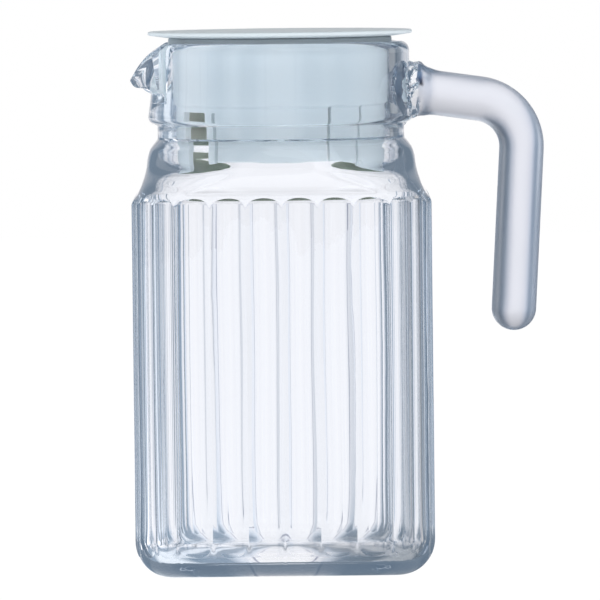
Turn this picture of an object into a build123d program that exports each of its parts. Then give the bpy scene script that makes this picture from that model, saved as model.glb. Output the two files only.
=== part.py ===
from build123d import *
import math
import os

# A square glass fridge jug with a fluted body, a round collared neck, a beak spout, a hooked
# glass handle and a push-in plastic lid. Millimetres, +Z up, the origin on the neck's axis at
# the foot. The spout points along -X and the handle along +X.

# Glass body
half_width = 50.0
corner_radius = 14.0
wall_thickness = 4.0
floor_thickness = 6.0
straight_height = 124.0
heel_radius = 12.0
inner_heel_radius = 6.0
foot_band = 7.0
underside_depth = 1.2
underside_round = 1.0

# Flutes pressed into the outside of the body
side_flutes = 6
corner_flutes = 3
flute_depth = 1.1
ridge_trim = 0.08

# Shoulder: at each share of its height, the share of its narrowing and of its rounding
shoulder_height = 21.0
shoulder_stations = [
    (0.10, 0.09, 0.03),
    (0.20, 0.26, 0.13),
    (0.33, 0.40, 0.32),
    (0.54, 0.55, 0.74),
    (0.75, 0.62, 0.96),
    (0.87, 0.73, 0.99),
]
inner_shoulder_rise = 0.6
shoulder_top_flat = 0.5

# Neck and collar
bore_radius = 36.9
neck_wall = 4.7
neck_height = 5.3
neck_overlap = 2.0
neck_bite = 0.4
collar_height = 27.3
collar_wall = 6.6
collar_foot_bulge = 1.1
collar_foot_height = 10.7
collar_foot_round = 2.4
rim_flat = 0.4

# Spout, with its brow at a share of the overhang and a share of the tip's drop
spout_overhang = 7.4
spout_brow = (0.55, 0.30)
spout_nose_slope = 0.45
spout_tip_drop = 10.4
spout_tip_thickness = 1.8
spout_foot_drop = 15.6
spout_half_width = 14.5
spout_tip_half_width = 5.0
spout_tip_round = 0.9
lip_height = 1.4
channel_wall = 3.0
channel_foot_drop = 20.5

# Handle: its root swells at each share of the root's length, over a pad of glass on the collar
handle_width = 15.0
handle_thickness = 12.6
handle_root_drop = 16.0
arm_slope = 8.2
arm_reach = 38.3
grip_lean = 3.3
grip_length = 68.5
handle_bend_radius = 16.2
root_length = 9.0
root_swells = [(0.0, 2.2), (0.5, 1.0), (1.0, 0.0)]
pad_width = 25.0
pad_height = 22.4
pad_depth = 11.6
pad_bulge = 2.5

# Lid, with angles from the front, positive towards the handle
lid_overhang = 1.0
lid_edge_thickness = 1.2
lid_plate_thickness = 2.0
lid_crown = 0.5
lid_gap = 1.8
lid_bevel_width = 5.9
plug_clearance = 0.7
plug_height = 21.2
skirt_inset = 1.0
skirt_depth = 40.0
skirt_wall = 1.8
slit_width = 1.0
slit_angles = [26.0, 45.0]
slit_height = 18.4
window_angle = -51.0
window_width = 10.6
window_height = 16.4
slot_angle = -37.0
slot_width = 1.4
slot_height = 16.4

# Seal ring
seal_overhang = 0.7
seal_depth = 1.3
seal_clearance = 0.1
seal_gap = 0.3
seal_lip_round = 0.3

# Places that follow from the sizes above
neck_radius = bore_radius + neck_wall
collar_radius = bore_radius + collar_wall
spout_reach = collar_radius + spout_overhang
lid_radius = collar_radius + lid_overhang
shoulder_top = straight_height + shoulder_height
collar_foot = shoulder_top + neck_height
rim_height = collar_foot + collar_height
rim_round = (collar_wall - rim_flat) / 2
rim_foot = rim_height - rim_round
rim_outer = collar_radius - rim_round
rim_inner = bore_radius + rim_round
lid_underside = rim_height + lid_gap
plug_radius = bore_radius - plug_clearance
skirt_radius = plug_radius - skirt_inset
groove_radius = plug_radius - seal_depth
seal_outer = bore_radius + seal_overhang
seal_foot = rim_foot + math.sqrt((rim_round + seal_gap) ** 2 - (rim_inner - seal_outer) ** 2)
skirt_inside = skirt_radius - skirt_wall
skirt_foot = rim_height - skirt_depth


def rounded_square(half, radius, height):
    """A level square with rounded corners, centred on the axis."""
    return Plane.XY.offset(height) * RectangleRounded(2 * half, 2 * half, radius)


def ridge_points():
    """The ridges between the flutes, in order round the outside of the body."""
    flat = half_width - corner_radius
    reach = half_width + ridge_trim
    points = []
    for quarter in range(4):
        for step in range(side_flutes):
            along = -flat + 2 * flat * step / side_flutes
            points.append(Vector(reach, along).rotate(Axis.Z, 90 * quarter))
        for step in range(corner_flutes):
            turn = math.radians(90 * step / corner_flutes)
            corner = corner_radius + ridge_trim
            point = Vector(flat + corner * math.cos(turn), flat + corner * math.sin(turn))
            points.append(point.rotate(Axis.Z, 90 * quarter))
    return points


def flute_points():
    """The deepest point of each flute, in the same order as the ridges."""
    flat = half_width - corner_radius
    points = []
    for quarter in range(4):
        for step in range(side_flutes):
            along = -flat + 2 * flat * (step + 0.5) / side_flutes
            points.append(Vector(half_width - flute_depth, along).rotate(Axis.Z, 90 * quarter))
        for step in range(corner_flutes):
            turn = math.radians(90 * (step + 0.5) / corner_flutes)
            corner = corner_radius - flute_depth
            point = Vector(flat + corner * math.cos(turn), flat + corner * math.sin(turn))
            points.append(point.rotate(Axis.Z, 90 * quarter))
    return points


def fluted_prism():
    """A prism with the fluted outline, taller than the body."""
    ridges = ridge_points()
    valleys = flute_points()
    arcs = []
    for index, valley in enumerate(valleys):
        following = ridges[(index + 1) % len(ridges)]
        arcs.append(ThreePointArc(ridges[index], valley, following))
    outline = make_face(Curve() + arcs)
    return extrude(Plane.XY.offset(-1) * outline, shoulder_top + 1)


def shoulder(half, radius, top_radius, start):
    """A loft from the square wall to a circle that the neck covers."""
    sections = [rounded_square(half, radius, start)]
    for rise, drop, gain in shoulder_stations:
        level_half = half - (half - top_radius) * drop
        level_radius = radius + (top_radius - radius) * gain
        sections.append(rounded_square(level_half, level_radius, start + shoulder_height * rise))
    sections.append(rounded_square(top_radius, top_radius - shoulder_top_flat, start + shoulder_height))
    return loft(sections)


def body_shell():
    """The fluted outside of the body with its heel and shoulder, still solid."""
    walls = extrude(rounded_square(half_width, corner_radius, 0), straight_height)
    walls = fillet(walls.faces().sort_by(Axis.Z)[0].edges(), heel_radius)
    top = shoulder(half_width, corner_radius, neck_radius - neck_bite, straight_height)
    return (walls + top) & fluted_prism()


def body_cavity():
    """The smooth inside of the body, up to the neck."""
    half = half_width - wall_thickness
    radius = corner_radius - wall_thickness
    start = straight_height + inner_shoulder_rise
    walls = extrude(rounded_square(half, radius, floor_thickness), start - floor_thickness)
    walls = fillet(walls.faces().sort_by(Axis.Z)[0].edges(), inner_heel_radius)
    return walls + shoulder(half, radius, bore_radius - neck_bite, start)


def underside_recess():
    """The shallow hollow under the floor that leaves a flat foot round the edge."""
    half = half_width - heel_radius - foot_band
    recess = extrude(rounded_square(half, half / 2, 0), underside_depth)
    return fillet(recess.faces().sort_by(Axis.Z)[-1].edges(), underside_round)


def neck_outside():
    """The neck, the collar with its rounded foot, and the outer half of the rim, still solid."""
    foot_radius = collar_radius + collar_foot_bulge
    start = shoulder_top - neck_overlap
    bend = rim_round * math.sqrt(0.5)
    under = Polyline(
        (0, start),
        (neck_radius, start),
        (neck_radius, collar_foot),
        (foot_radius - collar_foot_round, collar_foot),
    )
    foot = RadiusArc(under @ 1, (foot_radius, collar_foot + collar_foot_round), -collar_foot_round)
    side = Polyline(foot @ 1, (collar_radius, collar_foot + collar_foot_height), (collar_radius, rim_foot))
    rim = ThreePointArc(side @ 1, (rim_outer + bend, rim_foot + bend), (rim_outer, rim_height))
    back = Polyline(rim @ 1, (0, rim_height), (0, start))
    return revolve(Plane.XZ * make_face(under + foot + side + rim + back), Axis.Z)


def neck_bore():
    """What the neck's bore and the inner half of the rim take away."""
    start = shoulder_top - 3 * neck_overlap
    above = rim_height + rim_round
    bend = rim_round * math.sqrt(0.5)
    side = Polyline((0, start), (bore_radius, start), (bore_radius, rim_foot))
    rim = ThreePointArc(side @ 1, (rim_inner - bend, rim_foot + bend), (rim_inner, rim_height))
    back = Polyline(rim @ 1, (rim_inner, above), (0, above), (0, start))
    return revolve(Plane.XZ * make_face(side + rim + back), Axis.Z)


def spout_plan(half, reach, tip_half):
    """A beak's outline from above, with its round tip on the -X side."""
    beak = Polyline(
        (0, -half),
        (0, half),
        (-rim_inner, half),
        (-reach, tip_half),
        (-reach, -tip_half),
        (-rim_inner, -half),
        close=True,
    )
    outline = make_face(beak)
    tip = outline.vertices().sort_by(Axis.X)[:2]
    return fillet(tip, tip_half * spout_tip_round)


def spout_beak():
    """The outside of the beak that grows from the collar."""
    tip = rim_height - spout_tip_drop
    foot = rim_height - spout_foot_drop
    overhang = spout_reach - rim_outer
    brow_share, brow_drop = spout_brow
    top = Spline(
        (-rim_outer, rim_height),
        (-rim_outer - brow_share * overhang, rim_height - brow_drop * spout_tip_drop),
        (-spout_reach, tip),
        tangents=[(-1, 0), (-spout_nose_slope, -1)],
    )
    under = Polyline(
        top @ 1,
        (-spout_reach, tip - spout_tip_thickness),
        (-collar_radius, foot),
        (-rim_inner, foot),
        (-rim_inner, rim_height),
        top @ 0,
    )
    block = extrude(Plane.XZ * make_face(top + under), spout_half_width, both=True)
    plan = extrude(spout_plan(spout_half_width, spout_reach, spout_tip_half_width), rim_height)
    return block & plan


def spout_channel():
    """The open channel that runs from the bore out over the lip."""
    tip = rim_height - spout_tip_drop
    above = rim_height + rim_round
    rise = (spout_foot_drop - spout_tip_drop - spout_tip_thickness) / (spout_reach - collar_radius)
    lip = tip + lip_height
    knee = lip - rise * (spout_reach - collar_radius)
    inner = bore_radius - channel_wall
    outer = spout_reach + channel_wall
    floor = Polyline(
        (-inner, above),
        (-inner, rim_height - channel_foot_drop),
        (-bore_radius, rim_height - channel_foot_drop),
        (-collar_radius, knee),
        (-spout_reach, lip),
        (-outer, lip),
        (-outer, above),
        close=True,
    )
    half = spout_half_width - channel_wall
    block = extrude(Plane.XZ * make_face(floor), half, both=True)
    plan = extrude(spout_plan(half, outer, spout_tip_half_width - channel_wall / 2), above)
    return block & plan


def glass_jug():
    """The pressed glass jug, in one piece from foot to rim."""
    outside = body_shell() + neck_outside() + spout_beak()
    inside = body_cavity() + neck_bore() + spout_channel()
    return outside - inside - underside_recess()


def bar_section(start, slope, swell):
    """The oval section of the handle's bar, square to a direction that falls by the slope."""
    forward = (math.cos(slope), 0, -math.sin(slope))
    upward = (math.sin(slope), 0, math.cos(slope))
    plane = Plane(origin=start, x_dir=upward, z_dir=forward)
    return plane * Ellipse(handle_width / 2 + swell, handle_thickness / 2 + swell)


def handle():
    """The solid glass handle: a root spread over the collar, an arm, a bend and a free round end."""
    slope = math.radians(arm_slope)
    lean = math.radians(grip_lean)
    forward = Vector(math.cos(slope), 0, -math.sin(slope))
    root = Vector(rim_inner, 0, rim_height - handle_root_drop)
    neck = root + forward * (root_length + collar_radius - rim_inner)
    corner = root + Vector(arm_reach + collar_radius - rim_inner, 0, 0)
    corner = Vector(corner.X, 0, root.Z - (corner.X - root.X) * math.tan(slope))
    end = corner - Vector(math.tan(lean), 0, 1) * grip_length
    sections = [bar_section(root + (neck - root) * share, slope, swell) for share, swell in root_swells]
    bar = sweep(bar_section(neck, slope, 0), FilletPolyline(neck, corner, end, radius=handle_bend_radius))
    ball = scale(Sphere(handle_width / 2), by=(1, handle_thickness / handle_width, 1))
    pad = scale(Sphere(1), by=(pad_depth / 2, pad_width / 2, pad_height / 2))
    weld = loft(sections) + Pos(collar_radius + pad_bulge - pad_depth / 2, 0, root.Z) * pad
    return weld + bar + Pos(end) * ball - neck_outside()


def lid_blank():
    """The lid turned as a solid of revolution: disc, seal groove, plug and skirt."""
    top = lid_underside + lid_plate_thickness
    groove_foot = seal_foot - seal_clearance
    plug_foot = rim_height - plug_height
    crown = TangentArc((0, top + lid_crown), (lid_radius, top), tangent=(1, 0))
    below = Polyline(
        crown @ 1,
        (lid_radius, top - lid_edge_thickness),
        (lid_radius - lid_bevel_width, lid_underside),
        (groove_radius, lid_underside),
        (groove_radius, groove_foot),
        (plug_radius, groove_foot),
        (plug_radius, plug_foot),
        (skirt_radius, plug_foot - skirt_inset),
        (skirt_radius, skirt_foot),
        (skirt_inside, skirt_foot),
        (skirt_inside, lid_underside),
        (0, lid_underside),
        (0, top + lid_crown),
    )
    return revolve(Plane.XZ * make_face(crown + below), Axis.Z)


def skirt_opening(angle, width, height):
    """A cutter for an opening in the skirt that is open at the bottom edge."""
    block = Box(width, 4 * skirt_wall, 2 * height)
    middle = (skirt_radius + skirt_inside) / 2
    return Rot(0, 0, angle) * Pos(0, -middle, skirt_foot) * block


def lid():
    """The push-in lid with its pouring window, its slot and its straining slits."""
    cutters = skirt_opening(window_angle, window_width, window_height)
    cutters += skirt_opening(slot_angle, slot_width, slot_height)
    for angle in slit_angles:
        cutters += skirt_opening(angle, slit_width, slit_height)
    return lid_blank() - cutters


def seal_ring():
    """The soft ring in the lid's groove, with a rounded outer lip over the glass rim."""
    inner = groove_radius + seal_clearance
    top = lid_underside - seal_clearance
    height = top - seal_foot
    section = Pos((inner + seal_outer) / 2, (seal_foot + top) / 2) * Rectangle(seal_outer - inner, height)
    lips = section.vertices().sort_by(Axis.X)[-2:]
    return revolve(Plane.XZ * fillet(lips, height * seal_lip_round), Axis.Z)


os.makedirs("parts", exist_ok=True)
export_step(glass_jug(), "parts/glass_jug.step")
export_step(handle(), "parts/handle.step")
export_step(seal_ring(), "parts/seal_ring.step")
export_step(lid(), "parts/lid.step")
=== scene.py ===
import bpy
import math
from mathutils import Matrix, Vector, noise


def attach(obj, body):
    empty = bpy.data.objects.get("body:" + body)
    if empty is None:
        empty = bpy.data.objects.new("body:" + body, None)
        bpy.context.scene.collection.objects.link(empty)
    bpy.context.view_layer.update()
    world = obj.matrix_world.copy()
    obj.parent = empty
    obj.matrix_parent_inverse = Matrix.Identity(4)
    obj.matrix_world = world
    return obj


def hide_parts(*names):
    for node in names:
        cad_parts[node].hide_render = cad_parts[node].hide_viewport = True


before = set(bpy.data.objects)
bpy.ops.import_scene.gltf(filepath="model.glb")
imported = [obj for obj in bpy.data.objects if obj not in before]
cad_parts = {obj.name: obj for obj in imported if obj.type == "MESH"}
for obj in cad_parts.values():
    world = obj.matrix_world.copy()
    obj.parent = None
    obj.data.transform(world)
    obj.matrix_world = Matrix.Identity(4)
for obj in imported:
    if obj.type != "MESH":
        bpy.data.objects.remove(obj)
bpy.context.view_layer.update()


# The jug is pressed in one piece of clear glass: a fluted square body, a shoulder that turns from
# square to round, a collared neck and a beak pulled out of the rim. Its mesh is one closed skin,
# whose rows run from the middle of the foot up the outside, over the rim and down to the floor.
HALF = 0.050
CORNER = 0.014
WALL = 0.004
FLOOR = 0.006
STRAIGHT = 0.124
SHOULDER = 0.021
HEEL = 0.012
INNER_HEEL = 0.006
FLUTE_DEPTH = 0.0011
RIDGE_TRIM = 0.00008
SIDE_FLUTES = 6
CORNER_FLUTES = 3
NECK = 0.0416
BORE = 0.0369
COLLAR = 0.0435
RIM = 0.1776
RIM_FLAT = 0.0004
RIM_ROUND = (COLLAR - BORE - RIM_FLAT) / 2
RIM_FOOT = RIM - RIM_ROUND
COLLAR_FOOT = 0.1503
COLLAR_SWELL = 0.0011
COLLAR_ROUND = 0.0024
COLLAR_STRAIGHT = 0.1610
FOOT_HOLLOW = 0.0012
FLOOR_RISE = 0.0008
POLE = 0.0000005
FLUTE_FOOT = 0.016
FLUTE_HEAD = 0.118
ARCH_ROOM = 0.009
ARCH_TOP = 0.1285
SHOULDER_TOP = 0.1442
BORE_FOOT = 0.1555


def square_reach(turn, half, radius):
    """How far a rounded square's edge lies from the axis in one direction."""
    folded = abs((turn + math.pi / 4) % (math.pi / 2) - math.pi / 4)
    middle = half - radius
    if math.tan(folded) * half <= middle:
        return half / math.cos(folded)
    along = middle * (math.cos(folded) + math.sin(folded))
    return along + math.sqrt(max(radius ** 2 - 2 * middle ** 2 + along ** 2, 0))


def flute_columns(per_side, per_corner):
    """Direction of each column and how deep the flutes lie there, measured along its ray."""
    middle = HALF - CORNER
    pitch = 2 * middle / SIDE_FLUTES
    dip = FLUTE_DEPTH + RIDGE_TRIM
    side_radius = (pitch * pitch / 4 + dip * dip) / (2 * dip)
    corner_half = math.pi / 4 / CORNER_FLUTES
    ridge = CORNER + RIDGE_TRIM
    chord = ridge * math.sin(corner_half)
    sag = ridge * math.cos(corner_half) - (CORNER - FLUTE_DEPTH)
    corner_curve = (chord * chord + sag * sag) / (2 * sag)
    corner_centre = CORNER - FLUTE_DEPTH + corner_curve
    columns = []
    for quarter in range(4):
        for flute in range(SIDE_FLUTES):
            for step in range(per_side):
                offset = pitch * (step / per_side - 0.5)
                along = -middle + pitch * (flute + 0.5) + offset
                depth = math.sqrt(side_radius ** 2 - offset ** 2) - side_radius + FLUTE_DEPTH
                turn = math.atan2(along, HALF)
                columns.append((turn + quarter * math.pi / 2, max(depth, 0) / math.cos(turn)))
        for flute in range(CORNER_FLUTES):
            for step in range(per_corner):
                offset = 2 * corner_half * (step / per_corner - 0.5)
                normal = 2 * corner_half * (flute + 0.5) + offset
                near = corner_centre * math.sin(offset)
                across = corner_centre * math.cos(offset)
                depth = CORNER - across + math.sqrt(corner_curve ** 2 - near ** 2)
                x = middle + CORNER * math.cos(normal)
                y = middle + CORNER * math.sin(normal)
                turn = math.atan2(y, x)
                columns.append((turn + quarter * math.pi / 2, max(depth, 0) / math.cos(turn - normal)))
    return columns


def smooth_table(table, place):
    """A smooth curve through a table of (place, value, value) rows."""
    last = len(table) - 2
    index = 0
    while index < last and table[index + 1][0] < place:
        index += 1
    low, high = table[index], table[index + 1]
    before = table[max(index - 1, 0)]
    after = table[min(index + 2, len(table) - 1)]
    span = high[0] - low[0]
    part = min(max((place - low[0]) / span, 0), 1)
    values = []
    for item in (1, 2):
        rise_low = (high[item] - before[item]) / (high[0] - before[0]) * span
        rise_high = (after[item] - low[item]) / (after[0] - low[0]) * span
        cube, square = part ** 3, part ** 2
        values.append(
            (2 * cube - 3 * square + 1) * low[item]
            + (cube - 2 * square + part) * rise_low
            + (3 * square - 2 * cube) * high[item]
            + (cube - square) * rise_high
        )
    return values


def shoulder_table(half, radius, top, start):
    """Half width and corner radius of the shoulder at a few heights."""
    stations = [
        (0, 0, 0),
        (0.04, 0.008, 0),
        (0.10, 0.09, 0.03),
        (0.20, 0.26, 0.13),
        (0.33, 0.40, 0.32),
        (0.54, 0.55, 0.74),
        (0.75, 0.62, 0.96),
        (0.87, 0.73, 0.99),
        (1, 1, 1),
    ]
    rows = []
    for rise, drop, gain in stations:
        level = half - (half - top) * drop
        rows.append((start + SHOULDER * rise, level, min(radius + (top - radius) * gain, level)))
    return rows


OUTER_SHOULDER = shoulder_table(HALF, CORNER, NECK, STRAIGHT)
INNER_START = STRAIGHT + 0.0006
INNER_HALF = HALF - WALL
INNER_CORNER = CORNER - WALL
INNER_SHOULDER = shoulder_table(INNER_HALF, INNER_CORNER, BORE, INNER_START)


def between(low, high, count):
    """Evenly spaced numbers from low up to, but not including, high."""
    return [low + (high - low) * step / count for step in range(count)]


def outside_reach(turn, height):
    """The unfluted outside of the body at one height."""
    if height < HEEL:
        inset = HEEL - math.sqrt(max(HEEL ** 2 - (HEEL - height) ** 2, 0))
        return square_reach(turn, HALF - inset, CORNER - inset)
    if height < STRAIGHT:
        return square_reach(turn, HALF, CORNER)
    half, radius = smooth_table(OUTER_SHOULDER, height)
    return square_reach(turn, half, radius)


def meeting_height(turn, depth, low, high):
    """Where a flute of this depth runs out, between its deep end at low and the skin at high."""
    wall = square_reach(turn, HALF, CORNER) - depth
    for _ in range(30):
        middle = (low + high) / 2
        if outside_reach(turn, middle) > wall:
            low = middle
        else:
            high = middle
    return (low + high) / 2


# The beak: how far each column is pulled out of the round rim, and how far the lip drops there.
BEAK_REACH = 0.0509
BEAK_HALF = 0.0150
BEAK_TIP_HALF = 0.0045
BEAK_FOOT = 0.1600
BEAK_DROP = 0.0100
CHANNEL_FOOT = 0.1560
LIP_WALL = 0.0024


def beak_pull(turn):
    """Share of the full pull for a column, one at the tip and none beside the beak."""
    off = abs((turn % (2 * math.pi)) - math.pi)
    rim = (COLLAR + BORE) / 2
    edge = math.atan2(BEAK_HALF, rim)
    if off >= edge:
        return 0
    slope = (BEAK_HALF - BEAK_TIP_HALF) / (BEAK_REACH - rim)
    line = (BEAK_HALF + slope * rim) / (math.sin(off) + slope * math.cos(off))
    share = (line - rim) / (BEAK_REACH - rim)
    share = min(share, 1 + 0.02 * math.cos(off))
    soft = 0.12
    if share >= 1 - soft:
        share = 1 - soft * math.exp(-(share - 1 + soft) / soft)
    return max(share, 0)


def ease(value):
    """A smooth step from nought to one."""
    value = min(max(value, 0), 1)
    return value * value * (3 - 2 * value)


def collar_point(turn, radius, height, side):
    """A point of the collar or the bore after the beak is pulled out, as reach and height."""
    pull = beak_pull(turn)
    if pull <= 0:
        return radius, height
    foot = BEAK_FOOT if side > 0 else CHANNEL_FOOT
    climb = min(max((height - foot) / (RIM_FOOT - foot), 0), 1)
    rim = (COLLAR + BORE) / 2
    thin = 1 - pull * (1 - LIP_WALL / (COLLAR - BORE))
    lip = rim + (BEAK_REACH - LIP_WALL / 2 - rim) * pull
    target = lip + (radius - rim) * thin
    drop = BEAK_DROP * pull ** 1.7
    bend = climb ** (0.85 if side > 0 else 0.75) * ease(climb * 2.5 + 0.1)
    new_radius = radius + (target - radius) * bend
    new_height = height - drop * ease(climb)
    if height > RIM_FOOT:
        new_height = RIM_FOOT - drop + (height - RIM_FOOT) * thin
    return new_radius, new_height


SKIN_MERGE = 0.0000015


def wrap(name, columns, rows):
    """A grid wrapped into a closed skin: rows of points, the first and last drawn to a pole."""
    count = len(columns)
    bpy.ops.object.select_all(action="DESELECT")
    bpy.ops.mesh.primitive_grid_add(x_subdivisions=count, y_subdivisions=len(rows) - 1, size=2)
    piece = bpy.context.object
    piece.name = name
    piece.data.name = name
    stride = count + 1
    for number, vertex in enumerate(piece.data.vertices):
        row, column = divmod(number, stride)
        vertex.co = rows[row][column % count]
    bpy.ops.object.mode_set(mode="EDIT")
    bpy.ops.mesh.select_all(action="SELECT")
    bpy.ops.mesh.remove_doubles(threshold=SKIN_MERGE)
    bpy.ops.mesh.normals_make_consistent(inside=False)
    bpy.ops.object.mode_set(mode="OBJECT")
    return piece


def inside_ripple(turn, height):
    """The slight waviness that the plunger leaves on the inside of the walls."""
    fade = ease((height - 0.014) / 0.02) * ease((0.120 - height) / 0.02)
    place = Vector((math.cos(turn) * 2.2, math.sin(turn) * 2.2, height * 18))
    return noise.noise(place) * 0.00035 * fade


def ring(columns, reaches, heights):
    """One row of points round the jug, from each column's reach and height."""
    return [
        Vector((reach * math.cos(turn), reach * math.sin(turn), height))
        for (turn, _), reach, height in zip(columns, reaches, heights)
    ]


def level_ring(columns, half, radius, height):
    """One row round a rounded square that lies level."""
    reaches = [square_reach(turn, half, radius) for turn, _ in columns]
    return ring(columns, reaches, [height] * len(columns))


def foot_rows(columns):
    """The hollow under the jug and the flat band that it stands on."""
    foot = [
        (POLE, FOOT_HOLLOW),
        (0.012, FOOT_HOLLOW),
        (0.026, FOOT_HOLLOW),
        (0.0298, 0.0010),
        (0.0306, 0.0005),
        (0.0310, 0.00012),
        (0.0316, 0.0),
        (0.0350, 0.0),
    ]
    return [level_ring(columns, half, half / 2.2, height) for half, height in foot]


def wall_rows(columns):
    """The heel, the fluted wall, the arches that end the flutes, and the shoulder above."""
    rows = []
    turns = [turn for turn, _ in columns]
    fluted = [square_reach(turn, HALF, CORNER) - depth for turn, depth in columns]
    heels = [meeting_height(turn, depth, HEEL, 0) for turn, depth in columns]
    arches = [meeting_height(turn, depth, STRAIGHT, STRAIGHT + ARCH_ROOM) for turn, depth in columns]
    for part in between(0, 1, 14):
        share = 1 - math.cos(part * math.pi / 2)
        heights = [heel * share for heel in heels]
        rows.append(ring(columns, map(outside_reach, turns, heights), heights))
    for part in between(0, 1, 4):
        rows.append(ring(columns, fluted, [heel + (FLUTE_FOOT - heel) * part for heel in heels]))
    for height in between(FLUTE_FOOT, FLUTE_HEAD, 24):
        rows.append(ring(columns, fluted, [height] * len(columns)))
    for part in between(0, 1, 6):
        rows.append(ring(columns, fluted, [FLUTE_HEAD + (arch - FLUTE_HEAD) * part for arch in arches]))
    for part in between(0, 1, 10):
        heights = [arch + (ARCH_TOP - arch) * part for arch in arches]
        rows.append(ring(columns, map(outside_reach, turns, heights), heights))
    for height in between(ARCH_TOP, SHOULDER_TOP, 18):
        rows.append(ring(columns, [outside_reach(turn, height) for turn in turns], [height] * len(columns)))
    return rows


def quarter_round(reach, height, radius, first, count):
    """Points on a quarter circle in the section, turning up from the angle named first."""
    points = []
    for part in between(0, 1, count):
        turn = first + part * math.pi / 2
        points.append((reach + radius * math.cos(turn), height + radius * math.sin(turn)))
    return points


def outer_neck_section():
    """Reach and height up the neck, round the collar's swollen foot and over half of the rim."""
    section = [
        (NECK, 0.1452),
        (NECK - 0.0001, 0.1465),
        (NECK - 0.0001, 0.148),
        (NECK, 0.1493),
        (NECK + 0.0003, 0.1500),
        (NECK + 0.0009, 0.15025),
    ]
    foot_top = COLLAR_FOOT + COLLAR_ROUND
    foot_reach = COLLAR + COLLAR_SWELL - COLLAR_ROUND
    section += quarter_round(foot_reach, foot_top, COLLAR_ROUND, -math.pi / 2, 8)
    for part in between(0, 1, 5):
        section.append((COLLAR + COLLAR_SWELL * (1 - part), foot_top + part * 0.0083))
    for height in between(COLLAR_STRAIGHT, RIM_FOOT, 16):
        section.append((COLLAR, height))
    return section + quarter_round(COLLAR - RIM_ROUND, RIM_FOOT, RIM_ROUND, 0, 8)


def inner_neck_section():
    """Reach and height over the other half of the rim and down the bore."""
    section = quarter_round(BORE + RIM_ROUND, RIM_FOOT, RIM_ROUND, math.pi / 2, 8)
    for height in between(RIM_FOOT, BORE_FOOT, 20):
        section.append((BORE, height))
    for height in between(BORE_FOOT, INNER_START + SHOULDER, 5):
        section.append((BORE, height))
    return section


def neck_rows(columns, section, side):
    """The neck's rows, pulled out at the beak. side is 1 outside and -1 in the bore."""
    rows = []
    for radius, height in section:
        places = [collar_point(turn, radius, height, side) for turn, _ in columns]
        rows.append(ring(columns, [far for far, _ in places], [level for _, level in places]))
    return rows


def inside_rows(columns):
    """The inner shoulder, the inside of the walls, the rounded inner heel and the floor."""
    rows = []
    for height in between(INNER_START + SHOULDER, INNER_START, 24):
        half, radius = smooth_table(INNER_SHOULDER, height)
        rows.append(level_ring(columns, half, radius, height))
    for height in between(INNER_START, FLOOR + INNER_HEEL, 26):
        reaches = [
            square_reach(turn, INNER_HALF, INNER_CORNER) + inside_ripple(turn, height)
            for turn, _ in columns
        ]
        rows.append(ring(columns, reaches, [height] * len(columns)))
    for part in between(0, 1, 10):
        inset = INNER_HEEL * (1 - math.cos(part * math.pi / 2))
        height = FLOOR + INNER_HEEL * (1 - math.sin(part * math.pi / 2))
        rows.append(level_ring(columns, INNER_HALF - inset, INNER_CORNER - inset, height))
    for part in between(0, 1, 6):
        half = (INNER_HALF - INNER_HEEL) * (1 - part) + POLE * part
        rows.append(level_ring(columns, half, half / 2.5, FLOOR + FLOOR_RISE * ease(part)))
    rows.append(ring(columns, [POLE] * len(columns), [FLOOR + FLOOR_RISE] * len(columns)))
    return rows


def jug_rows(columns):
    """Every row of the jug's skin, from under the foot to the middle of the floor."""
    return (
        foot_rows(columns)
        + wall_rows(columns)
        + neck_rows(columns, outer_neck_section(), 1)
        + neck_rows(columns, inner_neck_section(), -1)
        + inside_rows(columns)
    )


jug_columns = flute_columns(12, 8)
jug = wrap("pressed_jug_skin", jug_columns, jug_rows(jug_columns))


# The handle is a solid bar of the same glass, gathered hot and pressed onto the collar. Its root
# flares where it was pushed on, its arm falls a little, and its grip ends free and round.
BAR = 0.0075
BAR_SIDE = 0.0063
ROOT = Vector((0.0400, 0, RIM - 0.016))
ARM_REACH = 0.0418
GRIP_LENGTH = 0.0685
ARM_SLOPE = math.radians(8.2)
GRIP_LEAN = math.radians(3.3)
CORNER_POINT = ROOT + Vector((ARM_REACH, 0, -ARM_REACH * math.tan(ARM_SLOPE)))
GRIP_END = CORNER_POINT - Vector((math.tan(GRIP_LEAN), 0, 1)) * GRIP_LENGTH
BEND = 0.0162
ROOT_FLARE = 0.0022


def handle_stations():
    """Places along the handle: centre, heading, and how much wider or narrower the bar is."""
    turn = math.pi / 2 - ARM_SLOPE + GRIP_LEAN
    setback = BEND * math.tan(turn / 2)
    arm = Vector((math.cos(ARM_SLOPE), 0, -math.sin(ARM_SLOPE)))
    grip = (GRIP_END - CORNER_POINT).normalized()
    arm_end = CORNER_POINT - arm * setback
    grip_start = CORNER_POINT + grip * setback
    length = (arm_end - ROOT).length
    stations = []
    for part in between(0, 1, 26):
        along = part * length
        flare = ROOT_FLARE * (1 - ease((along - 0.003) / 0.010))
        stations.append((ROOT + arm * along, ARM_SLOPE, flare, 1, along))
    centre = arm_end + Vector((-math.sin(ARM_SLOPE), 0, -math.cos(ARM_SLOPE))) * BEND
    for part in between(0, 1, 24):
        heading = ARM_SLOPE + turn * part
        spoke = Vector((math.sin(heading), 0, math.cos(heading)))
        stations.append((centre + spoke * BEND, heading, 0, 1, length))
    heading = ARM_SLOPE + turn
    for part in between(0, 1, 14):
        stations.append((grip_start.lerp(GRIP_END, part), heading, 0, 1, length))
    for part in between(0, 1, 12):
        rise = part * math.pi / 2
        stations.append((GRIP_END + grip * BAR * math.sin(rise), heading, 0, math.cos(rise), length))
    stations.append((GRIP_END + grip * BAR, heading, 0, 0.0001, length))
    return stations


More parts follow.
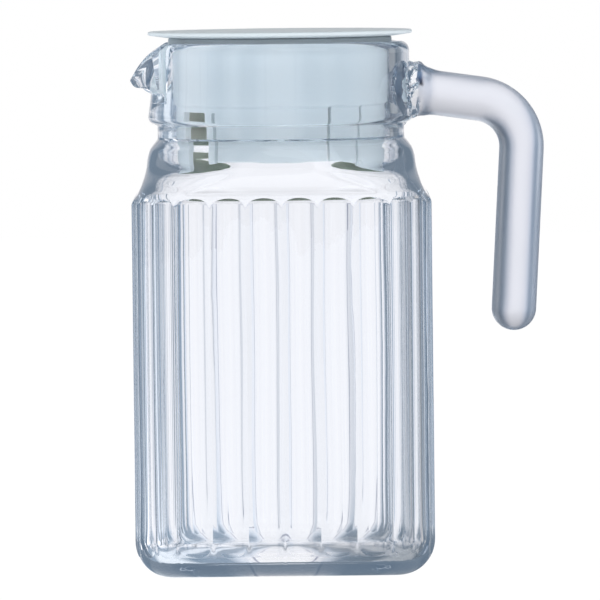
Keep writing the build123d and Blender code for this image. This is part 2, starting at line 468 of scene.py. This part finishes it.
def handle_rows(around):
    """Rings of points along the handle, crumpled a little where the hot root met the collar."""
    rows = []
    for centre, heading, flare, size, along in handle_stations():
        upward = Vector((math.sin(heading), 0, math.cos(heading)))
        row = []
        crumple = 0.0013 * (1 - ease((along - 0.004) / 0.007))
        for turn in around:
            wave = noise.noise(Vector((math.cos(turn) * 2.4, math.sin(turn) * 2.4, along * 420)))
            grow = flare + crumple * wave
            rise = (BAR + grow) * size * math.cos(turn)
            side = (BAR_SIDE + grow) * size * math.sin(turn)
            row.append(centre + upward * rise + Vector((0, side, 0)))
        rows.append(row)
    first = [ROOT.copy() for _ in around]
    return [first] + rows


bar_turns = between(0, 2 * math.pi, 72)
handle = wrap("handle_bar", bar_turns, handle_rows(bar_turns))


def join_glass(whole, part):
    """Two pieces of glass fused into one closed skin."""
    bpy.ops.object.select_all(action="DESELECT")
    bpy.context.view_layer.objects.active = whole
    whole.select_set(True)
    fuse = whole.modifiers.new("fuse", "BOOLEAN")
    fuse.operation = "UNION"
    fuse.solver = "EXACT"
    fuse.object = part
    bpy.ops.object.modifier_apply(modifier="fuse")
    bpy.data.objects.remove(part)


PAD_PLACE = Vector((0.0402, 0, 0.1600))
PAD_DEPTH = 0.0058
PAD_HALF_WIDTH = 0.0125
PAD_HALF_HEIGHT = 0.0112


def weld_pad():
    """The crinkled pad of glass that spread over the collar when the handle was pressed on."""
    bpy.ops.object.select_all(action="DESELECT")
    bpy.ops.mesh.primitive_ico_sphere_add(subdivisions=5, radius=1, location=(0, 0, 0))
    pad = bpy.context.object
    pad.name = "weld_pad"
    for vertex in pad.data.vertices:
        spot = vertex.co.normalized()
        coarse = noise.noise(spot * 2.6 + Vector((3, 1, 2)))
        fine = abs(noise.noise(spot * 7.0 + Vector((5, 8, 1))))
        size = 1 + 0.16 * coarse - 0.22 * fine
        spread = Vector((PAD_DEPTH * spot.x, PAD_HALF_WIDTH * spot.y, PAD_HALF_HEIGHT * spot.z))
        vertex.co = PAD_PLACE + spread * size
    return pad


join_glass(handle, weld_pad())
join_glass(jug, handle)
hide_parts("glass_jug", "handle")
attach(jug, "jug")
bpy.ops.object.select_all(action="DESELECT")
jug.select_set(True)
bpy.context.view_layer.objects.active = jug
bpy.ops.object.shade_smooth_by_angle(angle=math.radians(24))


def glass_material(name, colour, roughness, waviness):
    """Clear soda-lime glass, faintly wavy and tinted blue-grey by absorption in its thickness, with a
    painted dim blue-grey glow wherever a ray has been reflected more than three times inside it.
    """
    material = bpy.data.materials.new(name)
    material.use_nodes = True
    nodes = material.node_tree.nodes
    links = material.node_tree.links
    shader = nodes["Principled BSDF"]
    shader.inputs["Base Color"].default_value = colour
    shader.inputs["Transmission Weight"].default_value = 1
    shader.inputs["IOR"].default_value = 1.5
    place = nodes.new("ShaderNodeTexCoord")
    cloud = nodes.new("ShaderNodeTexNoise")
    cloud.inputs["Scale"].default_value = 55
    links.new(place.outputs["Object"], cloud.inputs["Vector"])
    haze = nodes.new("ShaderNodeMapRange")
    haze.inputs["To Min"].default_value = roughness * 0.8
    haze.inputs["To Max"].default_value = roughness * 1.2
    links.new(cloud.outputs["Fac"], haze.inputs["Value"])
    links.new(haze.outputs["Result"], shader.inputs["Roughness"])
    bump = nodes.new("ShaderNodeBump")
    bump.inputs["Strength"].default_value = waviness
    bump.inputs["Distance"].default_value = 0.0004
    links.new(cloud.outputs["Fac"], bump.inputs["Height"])
    links.new(bump.outputs["Normal"], shader.inputs["Normal"])
    depth = nodes.new("ShaderNodeVolumeAbsorption")
    depth.inputs["Color"].default_value = (0.35, 0.52, 0.68, 1)
    depth.inputs["Density"].default_value = 7
    links.new(depth.outputs["Volume"], nodes["Material Output"].inputs["Volume"])
    # Painted glow: once a ray has been reflected more than three times in the glass, the glass gives off a
    # dim blue-grey light of its own instead of going black.
    path = nodes.new("ShaderNodeLightPath")
    painted_glow_switch = nodes.new("ShaderNodeMath")
    painted_glow_switch.operation = "GREATER_THAN"
    painted_glow_switch.inputs[1].default_value = 3.5
    links.new(path.outputs["Glossy Depth"], painted_glow_switch.inputs[0])
    shader.inputs["Emission Color"].default_value = (0.10, 0.125, 0.155, 1)
    links.new(painted_glow_switch.outputs[0], shader.inputs["Emission Strength"])
    return material


jug.data.materials.append(glass_material("clear_pressed_glass", (0.965, 0.98, 1.0, 1), 0, 0.12))
jug.data.materials.append(glass_material("soft_handle_glass", (0.89, 0.91, 0.965, 1), 0.30, 0.15))
for face in jug.data.polygons:
    past_collar = face.center.x > 0.0462 and face.center.z > 0.075
    on_wall = face.center.x < 0.0515 and face.center.z < 0.1445
    face.material_index = 1 if past_collar and not on_wall else 0


# The lid is one moulding of white polyethylene: a thin disc with a bevelled underside, a hollow
# plug that fills the neck, and a skirt below it with a pouring window and narrow straining slits.
LID_RADIUS = 0.0445
LID_UNDER = RIM + 0.0018
LID_TOP = LID_UNDER + 0.002
LID_CROWN = 0.0005
PLUG = BORE - 0.0007
SKIRT = PLUG - 0.001
SKIRT_INSIDE = SKIRT - 0.0018
SKIRT_FOOT = RIM - 0.040
SEAL_SEAT = PLUG - 0.0013
DISC_FLAT = 0.0386


def spin_profile(name, points, steps):
    """A closed outline in the XZ plane turned once round the Z axis."""
    bpy.ops.object.select_all(action="DESELECT")
    bpy.ops.mesh.primitive_circle_add(vertices=len(points), radius=0.01, location=(0, 0, 0))
    piece = bpy.context.object
    piece.name = name
    for vertex, (reach, height) in zip(piece.data.vertices, points):
        vertex.co = (reach, 0, height)
    bpy.ops.object.mode_set(mode="EDIT")
    bpy.ops.mesh.select_all(action="SELECT")
    bpy.ops.mesh.spin(steps=steps, angle=2 * math.pi, center=(0, 0, 0), axis=(0, 0, 1))
    bpy.ops.mesh.select_all(action="SELECT")
    bpy.ops.mesh.remove_doubles(threshold=0.000004)
    bpy.ops.mesh.normals_make_consistent(inside=False)
    bpy.ops.object.mode_set(mode="OBJECT")
    return piece


def lid_outline():
    """Half of the lid's section, from the middle of the top round to the middle of the underside."""
    seat_foot = LID_UNDER - 0.0027
    plug_foot = RIM - 0.0212
    crown = [
        (LID_RADIUS * part, LID_TOP + LID_CROWN * (1 - part * part))
        for part in (0, 0.25, 0.5, 0.75, 0.92)
    ]
    edge = [
        (LID_RADIUS - 0.0004, LID_TOP + 0.00002),
        (LID_RADIUS - 0.0001, LID_TOP - 0.0002),
        (LID_RADIUS, LID_TOP - 0.0005),
        (LID_RADIUS, LID_TOP - 0.0009),
        (LID_RADIUS - 0.0004, LID_TOP - 0.00125),
        (DISC_FLAT, LID_UNDER),
    ]
    plug = [
        (SEAL_SEAT, LID_UNDER),
        (SEAL_SEAT, seat_foot),
        (PLUG - 0.0002, seat_foot),
        (PLUG, seat_foot - 0.0002),
        (PLUG, plug_foot),
        (SKIRT, plug_foot - 0.001),
        (SKIRT, SKIRT_FOOT + 0.0003),
        (SKIRT - 0.0003, SKIRT_FOOT),
        (SKIRT_INSIDE + 0.0003, SKIRT_FOOT),
        (SKIRT_INSIDE, SKIRT_FOOT + 0.0003),
        (SKIRT_INSIDE, LID_UNDER - 0.001),
        (SKIRT_INSIDE - 0.001, LID_UNDER),
        (0, LID_UNDER),
    ]
    return crown + edge + plug


lid = spin_profile("lid_moulding", lid_outline(), 180)


def cut_skirt(angle, width, height, round_top):
    """An opening through the skirt, open at its foot, at an angle from the front."""
    bpy.ops.object.select_all(action="DESELECT")
    turn = math.radians(angle)
    middle = (SKIRT + SKIRT_INSIDE) / 2
    place = (middle * math.sin(turn), -middle * math.cos(turn), SKIRT_FOOT)
    bpy.ops.mesh.primitive_cube_add(size=1, location=place)
    cutter = bpy.context.object
    cutter.scale = (width, 0.008, 2 * height)
    cutter.rotation_euler = (0, 0, turn)
    bpy.ops.object.transform_apply(location=True, rotation=True, scale=True)
    bpy.ops.object.mode_set(mode="EDIT")
    bpy.ops.mesh.select_all(action="SELECT")
    bpy.ops.mesh.bevel(offset=round_top, segments=3, affect="EDGES")
    bpy.ops.object.mode_set(mode="OBJECT")
    bpy.ops.object.select_all(action="DESELECT")
    bpy.context.view_layer.objects.active = lid
    lid.select_set(True)
    cut = lid.modifiers.new("cut", "BOOLEAN")
    cut.operation = "DIFFERENCE"
    cut.solver = "EXACT"
    cut.object = cutter
    bpy.ops.object.modifier_apply(modifier="cut")
    bpy.data.objects.remove(cutter)


cut_skirt(-51, 0.0106, 0.0164, 0.0006)
cut_skirt(-37, 0.0014, 0.0164, 0.0003)
cut_skirt(26, 0.0010, 0.0184, 0.0003)
cut_skirt(45, 0.0010, 0.0184, 0.0003)
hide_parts("lid")
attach(lid, "lid")
bpy.ops.object.select_all(action="DESELECT")
lid.select_set(True)
bpy.context.view_layer.objects.active = lid
bpy.ops.object.shade_smooth_by_angle(angle=math.radians(35))


def lid_material(name, colour):
    """White polyethylene, slightly waxy, with a fine moulded grain."""
    material = bpy.data.materials.new(name)
    material.use_nodes = True
    nodes = material.node_tree.nodes
    links = material.node_tree.links
    shader = nodes["Principled BSDF"]
    shader.inputs["Base Color"].default_value = colour
    shader.inputs["Roughness"].default_value = 0.42
    shader.inputs["Specular IOR Level"].default_value = 0.25
    shader.inputs["Subsurface Weight"].default_value = 0.25
    shader.inputs["Subsurface Radius"].default_value = (0.003, 0.003, 0.003)
    shader.inputs["Subsurface Scale"].default_value = 1
    place = nodes.new("ShaderNodeTexCoord")
    grain = nodes.new("ShaderNodeTexNoise")
    grain.inputs["Scale"].default_value = 900
    links.new(place.outputs["Object"], grain.inputs["Vector"])
    bump = nodes.new("ShaderNodeBump")
    bump.inputs["Strength"].default_value = 0.08
    bump.inputs["Distance"].default_value = 0.0002
    links.new(grain.outputs["Fac"], bump.inputs["Height"])
    links.new(bump.outputs["Normal"], shader.inputs["Normal"])
    return material


lid.data.materials.append(lid_material("white_polyethylene", (0.70, 0.765, 0.80, 1)))
# The second copy of the white polyethylene is a dark grey-green: painted shade for the inside of the hollow
# plug, which lies in shade.
lid.data.materials.append(lid_material("painted_shade_polyethylene", (0.27, 0.32, 0.26, 1)))
# Faces that look into the plug's hollow, and the underside of the disc inside it, take the painted shade.
for face in lid.data.polygons:
    reach = math.hypot(face.center.x, face.center.y)
    inward = face.normal.x * face.center.x + face.normal.y * face.center.y < -0.5 * reach
    hollow = reach < SKIRT_INSIDE + 0.0002 and face.center.z < LID_UNDER + 0.0001
    face.material_index = 1 if hollow and (inward or face.normal.z < -0.5) else 0


# The seal is a soft ring of elastomer that sits in the groove under the lid's disc and presses its rounded
# lip on the inner edge of the glass rim. Its dark grey is painted shade, for the gap under the disc that
# lies in shade.
SEAL_REACH = BORE + 0.0007
SEAL_LIP = 0.00075


def seal_outline():
    """The ring's section, rounded on its outer side."""
    inner = SEAL_SEAT + 0.0001
    foot = LID_UNDER - 0.0026
    top = LID_UNDER - 0.0001
    centre = SEAL_REACH - SEAL_LIP
    points = [(inner, foot)]
    for first, height in ((-math.pi / 2, foot + SEAL_LIP), (0, top - SEAL_LIP)):
        for part in range(7):
            turn = first + part * math.pi / 12
            points.append((centre + SEAL_LIP * math.cos(turn), height + SEAL_LIP * math.sin(turn)))
    points.append((inner, top))
    return points


seal = spin_profile("seal_lip_ring", seal_outline(), 180)
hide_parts("seal_ring")
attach(seal, "seal")
bpy.ops.object.select_all(action="DESELECT")
seal.select_set(True)
bpy.context.view_layer.objects.active = seal
bpy.ops.object.shade_smooth_by_angle(angle=math.radians(35))


def seal_material():
    """Matt dark grey, a little uneven in tone; the dark grey is painted shade for the shaded gap under the
    lid's disc.
    """
    material = bpy.data.materials.new("painted_shade_grey_elastomer")
    material.use_nodes = True
    nodes = material.node_tree.nodes
    links = material.node_tree.links
    shader = nodes["Principled BSDF"]
    shader.inputs["Roughness"].default_value = 0.6
    place = nodes.new("ShaderNodeTexCoord")
    cloud = nodes.new("ShaderNodeTexNoise")
    cloud.inputs["Scale"].default_value = 60
    links.new(place.outputs["Object"], cloud.inputs["Vector"])
    tone = nodes.new("ShaderNodeValToRGB")
    tone.color_ramp.elements[0].color = (0.25, 0.29, 0.32, 1)
    tone.color_ramp.elements[1].color = (0.33, 0.375, 0.41, 1)
    links.new(cloud.outputs["Fac"], tone.inputs["Fac"])
    links.new(tone.outputs["Color"], shader.inputs["Base Color"])
    return material


seal.data.materials.append(seal_material())


# The stage is a pale floor and a white surround. To the glass the surround is white panels with
# blue-grey gaps, as in a studio with dark flags, so that the edges of clear glass draw themselves.
PANELS = 4


bpy.ops.object.select_all(action="DESELECT")
bpy.ops.mesh.primitive_plane_add(size=6, location=(0, 0, -0.0002))
floor = bpy.context.object
floor.name = "floor"


def add_stops(ramp, stops):
    """A colour ramp's stops, each a place and a colour, on a ramp that starts with two."""
    elements = ramp.color_ramp.elements
    for number, (place, colour) in enumerate(stops):
        stop = elements[number] if number < 2 else elements.new(place)
        stop.position = place
        stop.color = (*colour, 1)


def add_grey_stops(ramp, stops):
    """The same for a ramp of plain greys, each a place and a level."""
    add_stops(ramp, [(place, (level, level, level)) for place, level in stops])


def surround_tone(nodes, links, direction):
    """Colour of the surround by direction: bright panels all round with dim grey-blue gaps."""
    heading = nodes.new("ShaderNodeVectorMath")
    heading.operation = "NORMALIZE"
    links.new(direction, heading.inputs[0])
    split = nodes.new("ShaderNodeSeparateXYZ")
    links.new(heading.outputs["Vector"], split.inputs["Vector"])
    bearing = nodes.new("ShaderNodeMath")
    bearing.operation = "ARCTAN2"
    links.new(split.outputs["X"], bearing.inputs[0])
    links.new(split.outputs["Y"], bearing.inputs[1])
    panels = nodes.new("ShaderNodeMath")
    panels.operation = "MULTIPLY"
    panels.inputs[1].default_value = PANELS
    links.new(bearing.outputs[0], panels.inputs[0])
    wave = nodes.new("ShaderNodeMath")
    wave.operation = "COSINE"
    links.new(panels.outputs[0], wave.inputs[0])
    half = nodes.new("ShaderNodeMath")
    half.operation = "MULTIPLY_ADD"
    half.inputs[1].default_value = 0.5
    half.inputs[2].default_value = 0.5
    links.new(wave.outputs[0], half.inputs[0])
    ramp = nodes.new("ShaderNodeValToRGB")
    add_stops(ramp, [
        (0.02, (0.65, 0.69, 0.74)),
        (0.84, (0.98, 0.96, 0.97)),
        (0.08, (0.17, 0.23, 0.30)),
        (0.42, (0.20, 0.265, 0.345)),
        (0.58, (0.60, 0.65, 0.73)),
        (0.76, (0.90, 0.89, 0.92)),
        (0.785, (0.22, 0.24, 0.34)),
        (0.81, (0.95, 0.94, 0.965)),
    ])
    links.new(half.outputs[0], ramp.inputs["Fac"])
    level = nodes.new("ShaderNodeValToRGB")
    add_grey_stops(level, [(0, 0.50), (0.02, 0.50), (0.16, 0.42), (0.60, 0.32), (0.90, 0.30)])
    links.new(split.outputs["Z"], level.inputs["Fac"])
    gain = nodes.new("ShaderNodeVectorMath")
    gain.operation = "MULTIPLY"
    links.new(ramp.outputs["Color"], gain.inputs[0])
    links.new(level.outputs["Color"], gain.inputs[1])
    across = nodes.new("ShaderNodeMapRange")
    across.inputs["From Min"].default_value = -1
    links.new(split.outputs["X"], across.inputs["Value"])
    side = nodes.new("ShaderNodeValToRGB")
    add_grey_stops(side, [(0.15, 1), (0.85, 0.38), (0.42, 0.69), (0.58, 0.69)])
    links.new(across.outputs["Result"], side.inputs["Fac"])
    leaning = nodes.new("ShaderNodeVectorMath")
    leaning.operation = "MULTIPLY"
    links.new(gain.outputs["Vector"], leaning.inputs[0])
    links.new(side.outputs["Color"], leaning.inputs[1])
    lit = nodes.new("ShaderNodeVectorMath")
    lit.operation = "SCALE"
    lit.inputs["Scale"].default_value = 2.9
    links.new(leaning.outputs["Vector"], lit.inputs[0])
    return lit.outputs["Vector"]


def camera_white(nodes, links, direction):
    """White to the camera, an even bright light to matt pieces, and panels to the glass."""
    colour = surround_tone(nodes, links, direction)
    split = nodes.new("ShaderNodeSeparateXYZ")
    links.new(direction, split.inputs["Vector"])
    soft = nodes.new("ShaderNodeValToRGB")
    add_stops(soft, [(0.35, (0.86, 0.885, 0.90)), (0.70, (0.12, 0.13, 0.135))])
    links.new(split.outputs["Z"], soft.inputs["Fac"])
    path = nodes.new("ShaderNodeLightPath")
    behind_glass = nodes.new("ShaderNodeMapRange")
    behind_glass.inputs["To Min"].default_value = 1.5
    behind_glass.inputs["To Max"].default_value = 2.05
    links.new(path.outputs["Transmission Depth"], behind_glass.inputs["Value"])
    bright = nodes.new("ShaderNodeVectorMath")
    bright.operation = "SCALE"
    links.new(behind_glass.outputs["Result"], bright.inputs["Scale"])
    links.new(soft.outputs["Color"], bright.inputs[0])
    matt = nodes.new("ShaderNodeMix")
    matt.data_type = "RGBA"
    links.new(path.outputs["Diffuse Depth"], matt.inputs[0])
    links.new(colour, matt.inputs[6])
    links.new(bright.outputs["Vector"], matt.inputs[7])
    mix = nodes.new("ShaderNodeMix")
    mix.data_type = "RGBA"
    links.new(path.outputs["Is Camera Ray"], mix.inputs[0])
    links.new(matt.outputs[2], mix.inputs[6])
    mix.inputs[7].default_value = (1, 1, 1, 1)
    return mix.outputs[2]


def floor_material():
    """A pale matt floor that goes over into the white surround and keeps a soft shadow."""
    material = bpy.data.materials.new("pale_floor")
    material.use_nodes = True
    nodes = material.node_tree.nodes
    links = material.node_tree.links
    shader = nodes["Principled BSDF"]
    shader.inputs["Base Color"].default_value = (0.9, 0.91, 0.92, 1)
    shader.inputs["Roughness"].default_value = 0.8
    place = nodes.new("ShaderNodeTexCoord")
    light = nodes.new("ShaderNodeEmission")
    light.inputs["Strength"].default_value = 1.08
    links.new(camera_white(nodes, links, place.outputs["Object"]), light.inputs["Color"])
    mix = nodes.new("ShaderNodeMixShader")
    mix.inputs["Fac"].default_value = 0.9
    links.new(shader.outputs["BSDF"], mix.inputs[1])
    links.new(light.outputs["Emission"], mix.inputs[2])
    links.new(mix.outputs["Shader"], nodes["Material Output"].inputs["Surface"])
    return material


floor.data.materials.append(floor_material())


def surround_world():
    """The same surround at the level of the horizon and above it."""
    world = bpy.data.worlds.new("studio")
    bpy.context.scene.world = world
    world.use_nodes = True
    nodes = world.node_tree.nodes
    links = world.node_tree.links
    coordinates = nodes.new("ShaderNodeTexCoord")
    tone = camera_white(nodes, links, coordinates.outputs["Generated"])
    links.new(tone, nodes["Background"].inputs["Color"])
    nodes["Background"].inputs["Strength"].default_value = 1


surround_world()
bpy.ops.object.light_add(type="AREA", location=(0.5, -1.2, 1.4))
lamp = bpy.context.object
lamp.name = "soft_key"
lamp.data.size = 1.4
lamp.data.energy = 6
lamp_aim = Vector((0, 0, 0.09)) - lamp.location
lamp.rotation_euler = lamp_aim.to_track_quat("-Z", "Y").to_euler()


# The camera stands far off with a long lens and looks a little down on the lid, as in the
# photograph. It is rolled by the half of a degree or so that the jug leans there.
CAMERA_DISTANCE = 3.4
CAMERA_HEIGHT = 0.239
AIM = Vector((0.0058, 0, 0.0905))
camera_data = bpy.data.cameras.new("photo_camera")
camera = bpy.data.objects.new("photo_camera", camera_data)
bpy.context.collection.objects.link(camera)
camera.location = (AIM.x, -CAMERA_DISTANCE, CAMERA_HEIGHT)
camera_data.lens = 606
camera_data.sensor_width = 36
look = (AIM - camera.location).to_track_quat("-Z", "Y").to_euler()
look.rotate_axis("Z", math.radians(-0.65))
camera.rotation_euler = look
camera_data.clip_end = 50
bpy.context.scene.camera = camera
bpy.context.scene.view_settings.view_transform = "Standard"
